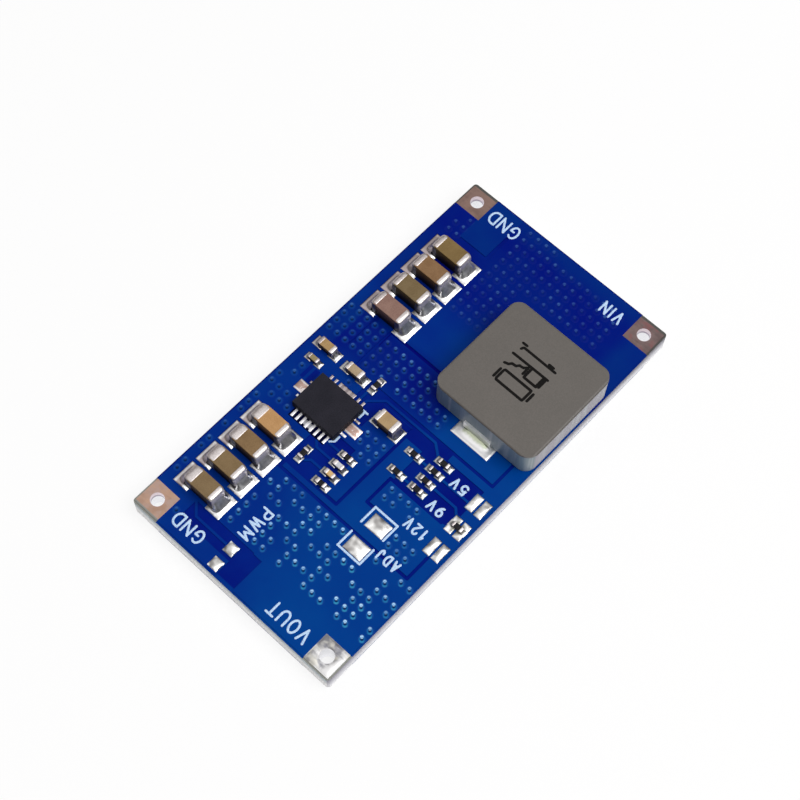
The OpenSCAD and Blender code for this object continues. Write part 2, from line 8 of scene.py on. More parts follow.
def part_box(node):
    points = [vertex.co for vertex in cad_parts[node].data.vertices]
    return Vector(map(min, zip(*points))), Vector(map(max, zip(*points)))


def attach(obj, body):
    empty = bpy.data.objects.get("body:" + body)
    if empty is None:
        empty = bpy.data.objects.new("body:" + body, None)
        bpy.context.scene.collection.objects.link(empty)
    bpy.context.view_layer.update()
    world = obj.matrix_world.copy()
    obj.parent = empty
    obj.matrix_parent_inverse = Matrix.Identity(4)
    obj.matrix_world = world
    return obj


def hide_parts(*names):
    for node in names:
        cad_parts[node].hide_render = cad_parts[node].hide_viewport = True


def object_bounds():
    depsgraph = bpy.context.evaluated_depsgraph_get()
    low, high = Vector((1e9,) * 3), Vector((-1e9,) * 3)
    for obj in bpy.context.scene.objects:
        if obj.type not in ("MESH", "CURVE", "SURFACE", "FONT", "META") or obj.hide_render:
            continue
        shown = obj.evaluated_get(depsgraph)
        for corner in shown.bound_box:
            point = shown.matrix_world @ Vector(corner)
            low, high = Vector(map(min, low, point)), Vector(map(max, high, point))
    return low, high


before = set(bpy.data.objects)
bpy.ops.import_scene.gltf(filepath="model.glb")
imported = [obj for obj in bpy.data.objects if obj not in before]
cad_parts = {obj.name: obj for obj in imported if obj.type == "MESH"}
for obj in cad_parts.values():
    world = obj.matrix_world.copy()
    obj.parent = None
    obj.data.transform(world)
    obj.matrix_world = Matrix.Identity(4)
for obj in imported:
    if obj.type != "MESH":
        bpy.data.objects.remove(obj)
cad_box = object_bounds()

# Laminate: the board's core, layers of woven glass cloth in cured resin, routed out of a panel.
# The cut edges stay raw, so the pale layers show there as fine streaks along the board.
MM = 0.001


class Shade:
    """One output socket of a node tree. Sums and products add Math nodes, node() any other."""

    def __init__(self, tree, socket=None):
        self.tree = tree
        self.socket = socket

    def node(self, kind, settings=None, sockets=None, out=0):
        """Adds a node, sets its settings, then gives its sockets their values or links."""
        made = self.tree.nodes.new("ShaderNode" + kind)
        for name, value in (settings or {}).items():
            setattr(made, name, value)
        for name, value in (sockets or {}).items():
            if isinstance(value, Shade):
                self.tree.links.new(value.socket, made.inputs[name])
            else:
                made.inputs[name].default_value = value
        return Shade(self.tree, made.outputs[out])

    def math(self, operation, first, second=0.0):
        return self.node("Math", {"operation": operation}, {0: first, 1: second})

    def __add__(self, other):
        return self.math("ADD", self, other)

    def __sub__(self, other):
        return self.math("SUBTRACT", self, other)

    def __rsub__(self, other):
        return self.math("SUBTRACT", other, self)

    def __mul__(self, other):
        return self.math("MULTIPLY", self, other)

    __radd__ = __add__
    __rmul__ = __mul__

    def size(self):
        """How far this is from 0, either way."""
        return self.math("ABSOLUTE", self)

    def step(self, low, high):
        """0 below low, 1 above high, and a smooth rise between."""
        return self.node("MapRange", {"interpolation_type": "SMOOTHSTEP"},
                         {"Value": self, "From Min": low, "From Max": high})

    def mix(self, colour, other):
        """The first colour where this is 0, the other where it is 1."""
        return self.node("Mix", {"data_type": "RGBA"}, {0: self, 6: colour, 7: other}, out=2)

    def vector(self, operation, first, second, out=0):
        """Vector Math, whose vectors come from output 0 and whose numbers come from output 1."""
        return self.node("VectorMath", {"operation": operation}, {0: first, 1: second}, out)

    def place(self, stretch=(1, 1, 1)):
        """The object's own coordinates in millimetres, each times a stretch."""
        return self.vector("MULTIPLY", self.node("TexCoord", out=3), [s / MM for s in stretch])

    def axis(self, index):
        return self.node("SeparateXYZ", None, {0: self.place()}, out=index)

    def distance(self, middle):
        """How far from a place on the board, in millimetres."""
        return self.vector("DISTANCE", self.place((1, 1, 0)), (*middle, 0), out=1)

    def noise(self, scale, detail=2.0, stretch=(1, 1, 1)):
        """Cloudy values about 0.5, with so many cells to the millimetre."""
        return self.node("TexNoise", None,
                         {"Vector": self.place(stretch), "Scale": scale, "Detail": detail})

    def bump(self, height, depth, strength=1.0):
        """A normal from a height of 0 to 1 that stands for a depth in millimetres."""
        return self.node("Bump", None,
                         {"Height": height, "Distance": depth * MM, "Strength": strength})


def srgb(red, green, blue):
    """A colour written as it looks on a screen, 0 to 255, as linear values."""
    seen = np.array([red, green, blue]) / 255
    linear = np.where(seen <= 0.04045, seen / 12.92, ((seen + 0.055) / 1.055) ** 2.4)
    return (*linear.tolist(), 1.0)


def finish(name, **fixed):
    """A material of one Principled shader with fixed values, its pen and its shader."""
    material = bpy.data.materials.new(name)
    material.use_nodes = True
    shader = material.node_tree.nodes["Principled BSDF"]
    for key, value in fixed.items():
        shader.inputs[key.replace("_", " ")].default_value = value
    return material, Shade(material.node_tree), shader


def feed(shader, **varying):
    """Links what changes over the surface to the shader's sockets."""
    for key, value in varying.items():
        value.tree.links.new(value.socket, shader.inputs[key.replace("_", " ")])


def dress(material, *names):
    """Gives CAD nodes a material in all their slots."""
    for name in names:
        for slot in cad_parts[name].material_slots:
            slot.material = material


half_x, half_y = cad_box[1].x / MM, cad_box[1].y / MM
laminate_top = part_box("laminate")[1].z / MM
margin_at_output, margin_at_input = srgb(136, 138, 132), srgb(78, 77, 74)
laminate, pen, shader = finish("laminate", Specular_IOR_Level=0.3)
layers = pen.noise(1.0, 3.0, (0.5, 0.5, 9))
fuzz = pen.noise(14, 3.0)
along, level = pen.axis(0), pen.axis(2)
# Painted light on the cut walls: near white by the floor, as if lit from below, and painted shade
# greyer towards the top, darker at the input. The end walls go from white at the floor to a bluish grey
# at the top.
shaded_upper_walls = along.step(-5, 12).mix(srgb(150, 147, 162), srgb(118, 116, 128))
long_walls = (level + 0.4 * layers).step(0.3, 2.3).mix(srgb(238, 238, 242), shaded_upper_walls)
end_walls = level.step(0.7, 1.85).mix(srgb(255, 255, 255), srgb(184, 196, 202))
walls = along.size().step(half_x - 0.06, half_x - 0.02).mix(long_walls, end_walls)
margin = along.step(-1, 1).mix(margin_at_output, margin_at_input)
feed(shader,
     Base_Color=level.step(laminate_top - 0.03, laminate_top - 0.005).mix(walls, margin),
     Roughness=0.55 + 0.3 * fuzz,
     Normal=pen.bump(layers + 0.6 * fuzz, 0.012, 0.5))
dress(laminate, "laminate")

# Copper: rolled foil, etched into pours and traces and plated through at the terminals.
# Only its edges show, where the mask draws back from a pad.
copper, pen, shader = finish("copper", Metallic=1.0)
tarnish = pen.noise(3, 4.0)
feed(shader,
     Base_Color=tarnish.step(0.35, 0.7).mix(srgb(206, 142, 104), srgb(150, 96, 72)),
     Roughness=0.35 + 0.3 * tarnish)
dress(copper, "copper_top", "copper_bottom")

# Mask: blue lacquer screened over both faces and cured, open over every pad.
# It looks lighter over copper than over bare laminate, and it dips at every etched gap.
board_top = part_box("mask_top")[1].z / MM
lacquer = {"Specular_IOR_Level": 0.025, "Roughness": 0.22}
etched_gaps = (-3.4, -2.0, 7.6, 8.16), (-3.4, -2.0, 8.34, 8.75), (-1.2, -0.55, -1.3, 2.1)
beside_inductor = 3, 7, -4, 6
painted_shadow_beside_output_caps = -6.52, -5.4, 3.05, 7.0
at_input_label = 15.2, 21, 5.1, 8.1


def within(pen, left, right, front, back):
    """1 inside a rectangle of the board, 0 outside."""
    soft = 0.06
    along, across = pen.axis(0), pen.axis(1)
    return (along.step(left, left + soft) * along.step(right, right - soft)
            * across.step(front, front + soft) * across.step(back, back - soft))


def clouds(pen):
    """Wide soft clouds in the lacquer, from 0 to 1."""
    return pen.noise(0.22, 3.0).step(0.3, 0.7)


def grain(pen):
    """The lacquer's fine uneven skin."""
    return pen.bump(pen.noise(6, 3.0), 0.004, 0.5)


def over_pours(pen):
    """The blue of the lacquer over copper: clouded, and paler to the front. It is deep at the input
    and by the inductor, less so along the input's edges and round its label."""
    along, across = pen.axis(0), pen.axis(1)
    cloud = clouds(pen)
    by_inductor = along.step(-1, 1.5) * along.step(5.5, 4) * across.step(-3.5, -1.5)
    back_edge = along.step(15, 12) * across.step(8.7, 9.2)
    front_edge = along.step(11, 13) * across.step(-7.6, -9.2)
    edges = within(pen, *at_input_label) + along.step(17.8, 20) + back_edge + front_edge
    pale = (0.35 * cloud + 0.65 * across.step(3, -4)).mix(srgb(0, 38, 126), srgb(0, 61, 138))
    deep = (0.35 * cloud + 0.65 * edges).mix(srgb(0, 17, 118), srgb(0, 42, 122))
    return (along.step(7, 12) + by_inductor).mix(pale, deep)


mask, pen, shader = finish("mask", **lacquer)
along, across = pen.axis(0), pen.axis(1)
raised = pen.axis(2).step(board_top - 0.05, board_top - 0.01)
for gap in etched_gaps:
    raised = raised * (1 - within(pen, *gap))
for way, half in ((along, half_x), (across, half_y)):
    raised = raised.math("MAXIMUM", raised, way.step(0.4 - half, 0.3 - half))
low = clouds(pen).mix(srgb(0, 15, 114), srgb(0, 31, 124))
low = within(pen, *beside_inductor).mix(low, srgb(0, 4, 104))
# Painted shade: a dark line along the back and input edges of the lacquer.
rim = along.step(half_x - 0.1, half_x) + across.step(half_y - 0.1, half_y)
blue = rim.mix(raised.mix(low, over_pours(pen)), srgb(0, 20, 88))
# A painted shadow: a box of near-black blue on the lacquer beside the output capacitors.
feed(shader,
     Base_Color=within(pen, *painted_shadow_beside_output_caps).mix(blue, srgb(0, 4, 44)),
     Normal=grain(pen))
dress(mask, "mask_top")

mask_under, pen, shader = finish("mask_under", **lacquer)
feed(shader,
     Base_Color=clouds(pen).mix(srgb(0, 46, 122), srgb(0, 68, 144)),
     Normal=grain(pen))
dress(mask_under, "mask_bottom")

# Vias: small drilled and plated holes that join the two faces, tented by the mask.
# The lacquer sags into each hole. Its colour carries a painted highlight on each ring's side away from
# the camera and a weaker one on the side towards it, most of all at the output, and painted shade in
# the middle of the hole.
via_pitch = 0.88
via_fields = [  # the place of a field's first via, then rows of marks towards the front, 1 for a via
    (-15.95, 3.9, ["1111010", "0000111", "0000101", "1111011", "1101010", "0011111", "1110111",
                   "0101001", "0101101", "1111100", "1010100", "1000100", "0101001", "1111000",
                   "1111110", "0010101", "1101101"]),
    (-15.75, 10.05, ["11011010111011"]),
    (-6.1, 9.2, ["11011", "11000", "10000"]),
    (-5.1, 1.15, ["011", "111", "111"]),
    (-6.4, -3.55, ["11", "11", "01", "11"]),
    (-9.1, -6.5, ["11"] * 3),
    (1.0, 5.5, ["1111"] * 3 + ["0111"] + ["1111"] * 3 + ["1100"] * 3),
    (1.5, 10.05, ["1111"] * 5),
    (9.75, 3.8, ["1" * 12] * 4 + ["000000111110"] * 9),
    (15.1, 9.2, ["110", "111"]),
    (-18.3, 7.5, ["1"]),
    (-1.1, 5.4, ["1"]),
]
via_places = [(x + col * via_pitch, y - row * via_pitch, board_top)
              for x, y, rows in via_fields
              for row, marks in enumerate(rows)
              for col, mark in enumerate(marks) if mark == "1"]
via_profile = [(0, -0.068), (0.4, -0.004), (0.3, 0.01), (0.2, 0.012), (0.13, -0.01), (0, -0.022)]
via_sides = 10
# The way along the board away from the camera, along which the painted highlights and shade of the vias
# are laid.
away_from_camera_x, away_from_camera_y = 0.76, 0.65


def quads(rows, cols, first):
    """Corner numbers of the quads in a grid of points that are numbered row by row from first."""
    corner = first + np.arange(rows * cols).reshape(rows, cols)
    around = corner[:-1, :-1], corner[:-1, 1:], corner[1:, 1:], corner[1:, :-1]
    return np.stack(around, -1).reshape(-1, 4)


def piece(name, grids, material, slot, *nodes, spots=None):
    """One object of grids of points in millimetres: points that coincide are merged, faces turned
    outwards. Each point may carry its spot, the way to it from the middle of its own small shape."""
    sizes = [grid.shape[:2] for grid in grids]
    firsts = np.cumsum([0] + [rows * cols for rows, cols in sizes])
    points = np.concatenate([grid.reshape(-1, 3) for grid in grids]) * MM
    faces = np.concatenate([quads(*size, first) for size, first in zip(sizes, firsts)])
    mesh = bpy.data.meshes.new(name)
    mesh.from_pydata(points.tolist(), [], faces.tolist())
    if spots is not None:
        carried = mesh.attributes.new("spot", "FLOAT_VECTOR", "POINT")
        carried.data.foreach_set("vector", spots.ravel())
    work = bmesh.new()
    work.from_mesh(mesh)
    bmesh.ops.remove_doubles(work, verts=work.verts, dist=1e-8)
    bmesh.ops.recalc_face_normals(work, faces=work.faces)
    work.to_mesh(mesh)
    work.free()
    mesh.shade_smooth()
    mesh.set_sharp_from_angle(angle=np.radians(50))
    mesh.materials.append(material)
    made = bpy.data.objects.new(name, mesh)
    bpy.context.scene.collection.objects.link(made)
    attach(made, "root")
    if nodes:
        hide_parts(*nodes)
    return made


def turned(profile, centres, sides):
    """A profile of radius and height, turned once round Z at each centre."""
    angle = np.linspace(0, 2 * np.pi, sides + 1)
    radius, height = np.array(profile).T[:, :, None]
    ring = np.broadcast_arrays(radius * np.cos(angle), radius * np.sin(angle), height)
    return list(np.stack(ring, -1) + np.array(centres)[:, None, None, :])


via_lacquer, pen, shader = finish("via_lacquer", Specular_IOR_Level=0.05)
spot = pen.node("Attribute", {"attribute_name": "spot"}, out=1)


def tent_oval(middle, length, width):
    """An oval on the tent, laid along the way away from the camera, 1 in its middle and 0 at its rim:
    one less the sum of the squares of both ways from the middle, each as a share of the oval, smoothed."""
    drawn = pen.vector("DOT_PRODUCT", spot, (away_from_camera_x / length, away_from_camera_y / length, 0), out=1)
    aside = pen.vector("DOT_PRODUCT", spot, (-away_from_camera_y / width, away_from_camera_x / width, 0), out=1)
    drawn = drawn - middle / length
    return (drawn * drawn + aside * aside).step(1.0, 0.0)


along, across = pen.axis(0), pen.axis(1)
output = along.step(-3, -15) * across.step(7, 4) * (0.45 + 0.55 * across.step(3, -6))
midboard = along.step(7, 4) * across.step(6, 3)
back_row = across.step(5, 7) * along.step(7, 5)
uneven = 0.4 + 1.3 * pen.noise(0.6, 1.0).step(0.3, 0.7)
ring = 0.5 * back_row * (tent_oval(0, 0.36, 0.36) - tent_oval(0, 0.2, 0.2))
halo = (0.4 * midboard + 0.85 * output) * tent_oval(0, 0.36, 0.31)
# Painted on the tent: a teal highlight on the side towards the camera, painted shade in the middle of
# the hole and a pale highlight on the side away from it.
near_glint = (0.1 * midboard + 0.4 * output) * tent_oval(-0.19, 0.17, 0.24) * uneven
mouth_shade = (1 - 0.7 * along.step(6, 9)) * tent_oval(-0.03, 0.18, 0.17)
far_glint = (0.1 + 0.18 * midboard + 0.55 * output) * tent_oval(0.17, 0.18, 0.18) * uneven
tent = ring.mix(over_pours(pen), srgb(8, 78, 146))
tent = halo.mix(tent, output.mix(srgb(12, 74, 156), srgb(18, 100, 164)))
tent = near_glint.mix(tent, srgb(56, 152, 188))
tent = mouth_shade.mix(tent, srgb(0, 32, 76))
tent = far_glint.mix(tent, output.mix(srgb(120, 186, 246), srgb(170, 212, 246)))
feed(shader, Base_Color=tent, Roughness=0.3 + 0.15 * pen.noise(0.7, 2.0))
spots = np.concatenate(turned(via_profile, np.zeros((len(via_places), 3)), via_sides))
tents = turned(via_profile, via_places, via_sides)
piece("via_tents", tents, via_lacquer, "mask", spots=spots)

# Terminals: square lands at the corners, copper plated through a hole for the wires.
# Three are bare copper gone dull, and the output's positive one has been tinned.
hole_radius, hole_edge = 0.575, 1.4
hole_place = np.array([half_x, half_y]) - hole_edge
land_half, land_margin = 1.25, 0.3


def land_finish(name, side_x, side_y, bright, dull, blush, tin=False):
    """Metal gone dull and tinged in patches, with rubbing marks and a bright barrel in its hole. On the
    bare lands the barrel carries a painted shadow, a dark band part way down under its pinkish rim.
    """
    material, pen, shader = finish(name)
    patches = pen.noise(1.1, 4.0)
    rubbed = pen.noise(5, 2.0, (1, 0.15, 1))
    apart = pen.distance((side_x * hole_place[0], side_y * hole_place[1]))
    land = apart.step(hole_radius + 0.005, hole_radius + 0.03)
    outwards = side_x * pen.axis(0) + side_y * pen.axis(1) - float(hole_place.sum())
    tone = patches + 0.35 * rubbed + (0.13 if tin else 0.0) * outwards
    face = tone.step(0.5, 0.85).mix(srgb(*dull), srgb(*bright))
    face = pen.noise(1.3, 2.0).step(0.48, 0.72).mix(face, srgb(*blush))
    level = pen.axis(2)
    if tin:
        barrel = level.step(0.2, 1.5).mix(srgb(246, 246, 250), srgb(228, 228, 232))
    else:
        outer = (side_x * pen.axis(0)).step(half_x - land_margin, half_x - land_margin + 0.03)
        face = outer.mix(face, margin_at_output if side_x < 0 else margin_at_input)
        # Painted shadow: a dark band round the barrel part way down, under the pinkish rim at its top.
        barrel = level.step(1.2, 1.4).mix(srgb(246, 246, 250), srgb(164, 154, 168))
        barrel = level.step(1.5, 1.6).mix(barrel, srgb(228, 212, 218))
    feed(shader,
         Base_Color=land.mix(barrel, face),
         Metallic=1 - (0.45 if tin else 0.65) * land,
         Roughness=0.2 + land * (0.2 + 0.3 * patches),
         Normal=pen.bump(rubbed + patches, 0.02 if tin else 0.006, 0.6))
    return material


for name, sides, *colours in (
        ("gnd_out", (-1, 1), (188, 153, 130), (168, 134, 114), (178, 150, 138)),
        ("gnd_in", (1, 1), (136, 110, 100), (116, 92, 84), (130, 104, 96)),
        ("vin", (1, -1), (118, 98, 96), (98, 80, 79), (126, 82, 82))):
    dress(land_finish("land_" + name, *sides, *colours), "terminal_" + name)
tinned = land_finish("land_vout", -1, -1, (232, 232, 232), (132, 132, 138), (206, 204, 196), True)
dress(tinned, "terminal_vout")


def pooled_tin(corner, rows, cols):
    """Tin on a land, from the rim of its hole to the square's rim. Its thickness is a power of half a
    sine wave between the two, times a swell that rises and falls round the hole."""
    clear, sunk = 0.03, 0.004
    angle = np.linspace(0, 2 * np.pi, cols)
    share = np.linspace(0, 1, rows)[:, None]
    reach = (land_half - clear) / np.maximum(np.abs(np.cos(angle)), np.abs(np.sin(angle)))
    rim = hole_radius + clear
    radius = rim + share * (reach - rim)
    swell = 0.07 + 0.04 * np.sin(3 * angle + 0.6) + 0.02 * np.sin(5 * angle + 2 * share)
    height = board_top - sunk + swell * np.sin(np.pi * share) ** 0.7
    x, y = corner[0] + radius * np.cos(angle), corner[1] + radius * np.sin(angle)
    top = np.stack(np.broadcast_arrays(x, y, height), -1)
    under = top.copy()
    under[..., 2] = board_top - sunk
    return [top, under]


piece("tin_vout", pooled_tin(-hole_place, 9, 61), tinned, "tinned_land")

# Print: white ink screened on the mask, naming the terminals and the voltage options.
# The strokes are of one width with round ends, a hair thick.
print_width, print_sunk, print_rise = 0.2, 0.005, 0.022


def stroke(path, width, base, rise):
    """A band with round ends: a low flat arch carried along a path, shrunk to a point at its ends."""
    path = np.asarray(path, float)
    along = np.gradient(path, axis=0)
    along /= np.linalg.norm(along, axis=1, keepdims=True)
    bow = np.radians([0, 25, 55])
    half = width / 2
    centre = np.concatenate([path[0] - half * np.cos(bow)[:, None] * along[0], path,
                             path[-1] + half * np.cos(bow[::-1])[:, None] * along[-1]])
    along = np.concatenate([np.repeat(along[:1], len(bow), 0), along,
                            np.repeat(along[-1:], len(bow), 0)])
    spread = half * np.concatenate([np.sin(bow), np.ones(len(path)), np.sin(bow[::-1])])[:, None]
    across = np.array([-1, -0.75, 0.75, 1, -1])
    lift = np.array([0, 1, 1, 0, 0]) * rise * (spread > 0)
    normal = np.stack([-along[:, 1], along[:, 0]], -1)
    flat = centre[:, None, :] + normal[:, None, :] * (spread * across)[:, :, None]
    return np.concatenate([flat, (base + lift)[:, :, None]], -1)


def inked(paths, width, base, rise):
    """Strokes along paths, each a trace thicker than the last, so no two tops lie in one plane."""
    return [stroke(path, width, base, rise * (1 + 0.02 * (number % 9)))
            for number, path in enumerate(paths)]


def arc(x, y, reach_x, reach_y, first, last):
    """Points of an ellipse's arc between two angles in degrees."""
    angle = np.radians(np.linspace(first, last, 15))
    return np.stack([x + reach_x * np.cos(angle), y + reach_y * np.sin(angle)], -1)


def runs(*points):
    """The straight strokes between points, one after another."""
    return [np.array(pair, float) for pair in zip(points[:-1], points[1:])]


letters = {
    "G": [arc(0.5, 0.5, 0.5, 0.5, 50, 345)] + runs((0.99, 0.37), (0.99, 0.46), (0.6, 0.46)),
    "N": runs((0, 0), (0, 1), (1, 0), (1, 1)),
    "D": runs((0.4, 1), (0, 1), (0, 0), (0.4, 0)) + [arc(0.4, 0.5, 0.6, 0.5, 90, -90)],
    "V": runs((0, 1), (0.5, 0), (1, 1)),
    "O": [arc(0.5, 0.5, 0.5, 0.5, 0, 180), arc(0.5, 0.5, 0.5, 0.5, 180, 360)],
    "U": runs((0, 1), (0, 0.4)) + [arc(0.5, 0.4, 0.5, 0.4, 180, 360)] + runs((1, 0.4), (1, 1)),
    "T": runs((0, 1), (1, 1)) + runs((0.5, 1), (0.5, 0)),
    "I": runs((0.5, 0), (0.5, 1)),
    "A": runs((0, 0), (0.5, 1), (1, 0)) + runs((0.2, 0.35), (0.8, 0.35)),
    "J": runs((0.9, 1), (0.9, 0.35)) + [arc(0.45, 0.35, 0.45, 0.35, 0, -170)],
    "P": (runs((0, 0), (0, 1), (0.55, 1)) + [arc(0.55, 0.73, 0.45, 0.27, 90, -90)]
          + runs((0.55, 0.46), (0, 0.46))),
    "W": runs((0, 1), (0.25, 0), (0.5, 0.85), (0.75, 0), (1, 1)),
    "M": runs((0, 0), (0, 1), (0.5, 0.3), (1, 1), (1, 0)),
    "1": runs((0.1, 0.75), (0.6, 1), (0.6, 0)),
    "2": [arc(0.5, 0.7, 0.47, 0.3, 165, -35)] + runs((0.885, 0.53), (0, 0), (1, 0)),
    "5": runs((0.9, 1), (0.15, 1), (0.1, 0.52)) + [arc(0.47, 0.33, 0.5, 0.33, 145, -150)],
    "9": [arc(0.5, 0.68, 0.47, 0.32, 0, 180), arc(0.5, 0.68, 0.47, 0.32, 180, 360),
          arc(0.05, 0.68, 0.92, 0.68, 0, -75)],
}
letter_widths = {"I": 0.15, "1": 0.6, "J": 0.75, "W": 1.35, "M": 1.15}
letter_gap = 0.38


def word(text, start, end, reading, upward):
    """The strokes of a word in the box between two corners, read along one way, upright in another."""
    corners = np.array([start, end])
    reading, upward = np.array(reading), np.array(upward)
    low = np.array([(corners @ reading).min(), (corners @ upward).min()]) + print_width / 2
    high = np.array([(corners @ reading).max(), (corners @ upward).max()]) - print_width / 2
    shares = np.array([letter_widths.get(letter, 1.0) for letter in text])
    unit = (high[0] - low[0] - letter_gap * (len(text) - 1)) / shares.sum()
    lefts = low[0] + np.cumsum(np.concatenate([[0], shares * unit + letter_gap]))
    strokes = []
    for letter, left, share in zip(text, lefts, shares):
        for path in letters[letter]:
            along = left + path[:, :1] * share * unit
            height = low[1] + path[:, 1:] * (high[1] - low[1])
            strokes.append(along * reading + height * upward)
    return strokes


turned_left = ((0, 1), (-1, 0))
turned_over = ((-1, 0), (0, -1))
lines = (
    word("GND", (-19.33, 4.2), (-18.05, 7.28), *turned_left)
    + word("VOUT", (-19.43, -7.27), (-18.1, -3.23), *turned_left)
    + word("ADJ", (-10.56, -8.4), (-9.54, -6.33), *turned_left)
    + word("12V", (-7.18, -8.14), (-6.1, -6.1), *turned_left)
    + word("9V", (-4.82, -7.89), (-3.8, -6.35), *turned_left)
    + word("5V", (-2.2, -8.0), (-1.18, -6.45), *turned_left)
    + word("GND", (17.89, 4.46), (19.27, 7.59), *turned_left)
    + word("VIN", (17.84, -7.05), (19.07, -4.9), *turned_left)
    + word("PWM", (-16.4, 1.59), (-13.33, 2.77), *turned_over)
    + runs((-10.18, -3.61), (-11.75, -3.61), (-11.75, -5.94), (-10.18, -5.94))
    + runs((-9.1, -3.61), (-7.46, -3.61), (-7.46, -5.95), (-9.1, -5.95))
    + runs((-5.9, 2.9), (-5.6, 2.6), (-5.1, 2.6))
    + runs((-2.75, 2.62), (-2.1, 2.62)) + runs((-2.1, 2.9), (-2.1, 2.35))
    + runs((-2.36, 1.69), (-2.32, 1.69))
)
white_ink, pen, shader = finish("white_ink", Specular_IOR_Level=0.3)
worn = pen.noise(7, 3.0)
feed(shader,
     Base_Color=worn.step(0.3, 0.55).mix(srgb(156, 192, 234), srgb(194, 218, 244)),
     Roughness=0.5 + 0.2 * worn)
ink = inked(lines, print_width, board_top - print_sunk, print_rise)
piece("board_print", ink, white_ink, "mask")

# Ceramic capacitors: fired stacks of ceramic and foil, sawn to blocks, their ends dipped in metal.
# Each batch has its own brown. They stand on pads of solder that has climbed their ends.
browns = {
    "output_cap_1": ((130, 109, 78), (117, 96, 67)),
    "output_cap_2": ((130, 108, 76), (116, 95, 64)),
    "output_cap_3": ((134, 108, 75), (119, 94, 63)),
    "output_cap_4": ((190, 148, 100), (174, 132, 86)),
    "input_cap_1": ((128, 106, 66), (114, 92, 54)),
    "input_cap_2": ((136, 105, 73), (122, 91, 61)),
    "input_cap_3": ((122, 104, 74), (108, 90, 60)),
    "input_cap_4": ((144, 114, 102), (128, 98, 88)),
}
Kind = namedtuple("Kind", "metal toe side edge hollow")
End = namedtuple("End", "place outward half_width low height kind")
chip_kinds = {3.2: Kind(0.5, 0.93, 0.28, 0.22, 1.15), 2.0: Kind(0.42, 0.5, 0.08, 0.06, 1.15),
              1.6: Kind(0.34, 0.58, 0.08, 0.06, 1.4), 1.0: Kind(0.24, 0.37, 0.08, 0.06, 1.4)}
wrap, film, heel = 0.03, 0.05, 0.1
pad_level = board_top - 0.03
output_side = -5
chance = np.random.default_rng(7)


def ceramic(name, colour, shade, top):
    """Fired ceramic: a colour with fine darker grain. Its walls carry painted shade: darker than
    the top and near black towards the board.
    """
    material, pen, shader = finish(name, Specular_IOR_Level=0.2)
    speckle = pen.noise(16, 3.0)
    tone = pen.noise(1.2, 2.0)
    face = (0.6 * speckle + 0.4 * tone).step(0.35, 0.65).mix(srgb(*shade), srgb(*colour))
    level = pen.axis(2)
    # Painted shade: the walls are darker than the top, going to near black at the board.
    wall = srgb(*[0.8 * value for value in shade])
    side = level.step(board_top + 0.2, top).mix(srgb(14, 12, 12), wall)
    feed(shader,
         Base_Color=level.step(top - 0.06, top - 0.02).mix(side, face),
         Roughness=0.5 + 0.2 * speckle,
         Normal=pen.bump(speckle, 0.006, 0.5))
    return material


def chip_ends(body):
    """Both ends of a chip, from the box of its body: end wall, outward direction, sizes and kind."""
    low, high = (np.array(corner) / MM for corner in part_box(body))
    middle, half = (low + high) / 2, (high - low) / 2 + wrap
    along = np.eye(2)[int(half[1] > half[0])]
    length = half[:2] @ along
    kind = chip_kinds[round(float(2 * length), 1)]
    return [End(middle[:2] + side * length * along, side * along, half[:2].sum() - length,
                low[2] - wrap, 2 * half[2], kind) for side in (1, -1)]


def faces_back(end):
    """Whether a chip's end faces the board's back edge."""
    return end.outward[1] > 0.5


def cup_length(end):
    """How far the metal of an end reaches along its chip. At the back it reaches further on the
    output's chips, and on the others further on large chips and less far on small ones."""
    if not faces_back(end):
        return end.kind.metal
    at_output, elsewhere = (1.75, 1.1) if end.kind.metal > 0.45 else (1.3, 0.85)
    return end.kind.metal * (at_output if end.place[0] < output_side else elsewhere)


def laid(local, place, outward):
    """Points of u outwards, v to its left and height, put on the board."""
    u, v, height = np.moveaxis(local, -1, 0)
    x = place[0] + u * outward[0] - v * outward[1]
    y = place[1] + u * outward[1] + v * outward[0]
    return np.stack([x, y, height], -1)


def rounded(half_v, half_height, radius):
    """Closed loops of points, each a rectangle of two half sizes with its corners rounded."""
    angle = np.radians([0, 30, 60, 90])[None, :] + np.radians([0, 90, 180, 270])[:, None]
    sides = np.stack([np.sign(np.cos(angle.mean(1))), np.sign(np.sin(angle.mean(1)))], -1)
    reach = np.stack(np.broadcast_arrays(half_v, half_height), -1)[:, None, None, :] - radius
    bend = radius * np.stack([np.cos(angle), np.sin(angle)], -1)
    loop = (reach * sides[None, :, None, :] + bend[None]).reshape(len(reach), -1, 2)
    return np.concatenate([loop, loop[:, :1]], 1)


def tube(u, loops, closing, middle):
    """Loops at places along u, each shrunk towards its middle height by a closing share."""
    loops = loops * np.array(closing)[:, None, None]
    u = np.array(u)[:, None]
    return np.stack(np.broadcast_arrays(u, loops[..., 0], middle + loops[..., 1]), -1)


def block(body):
    """The body of a chip: a rounded rectangle carried along it, closed inside the ends' metal."""
    first, last = chip_ends(body)
    inside, corner = 0.6, 0.03
    span = np.linalg.norm(first.place - last.place)
    start, stop = inside * cup_length(last) - span, -inside * cup_length(first)
    half_width, half_height = first.half_width - wrap, first.height / 2 - wrap
    loops = rounded(np.full(4, half_width), half_height, corner)
    local = tube([start, start, stop, stop], loops, [0, 1, 1, 0], first.low + first.height / 2)
    return laid(local, first.place, first.outward)


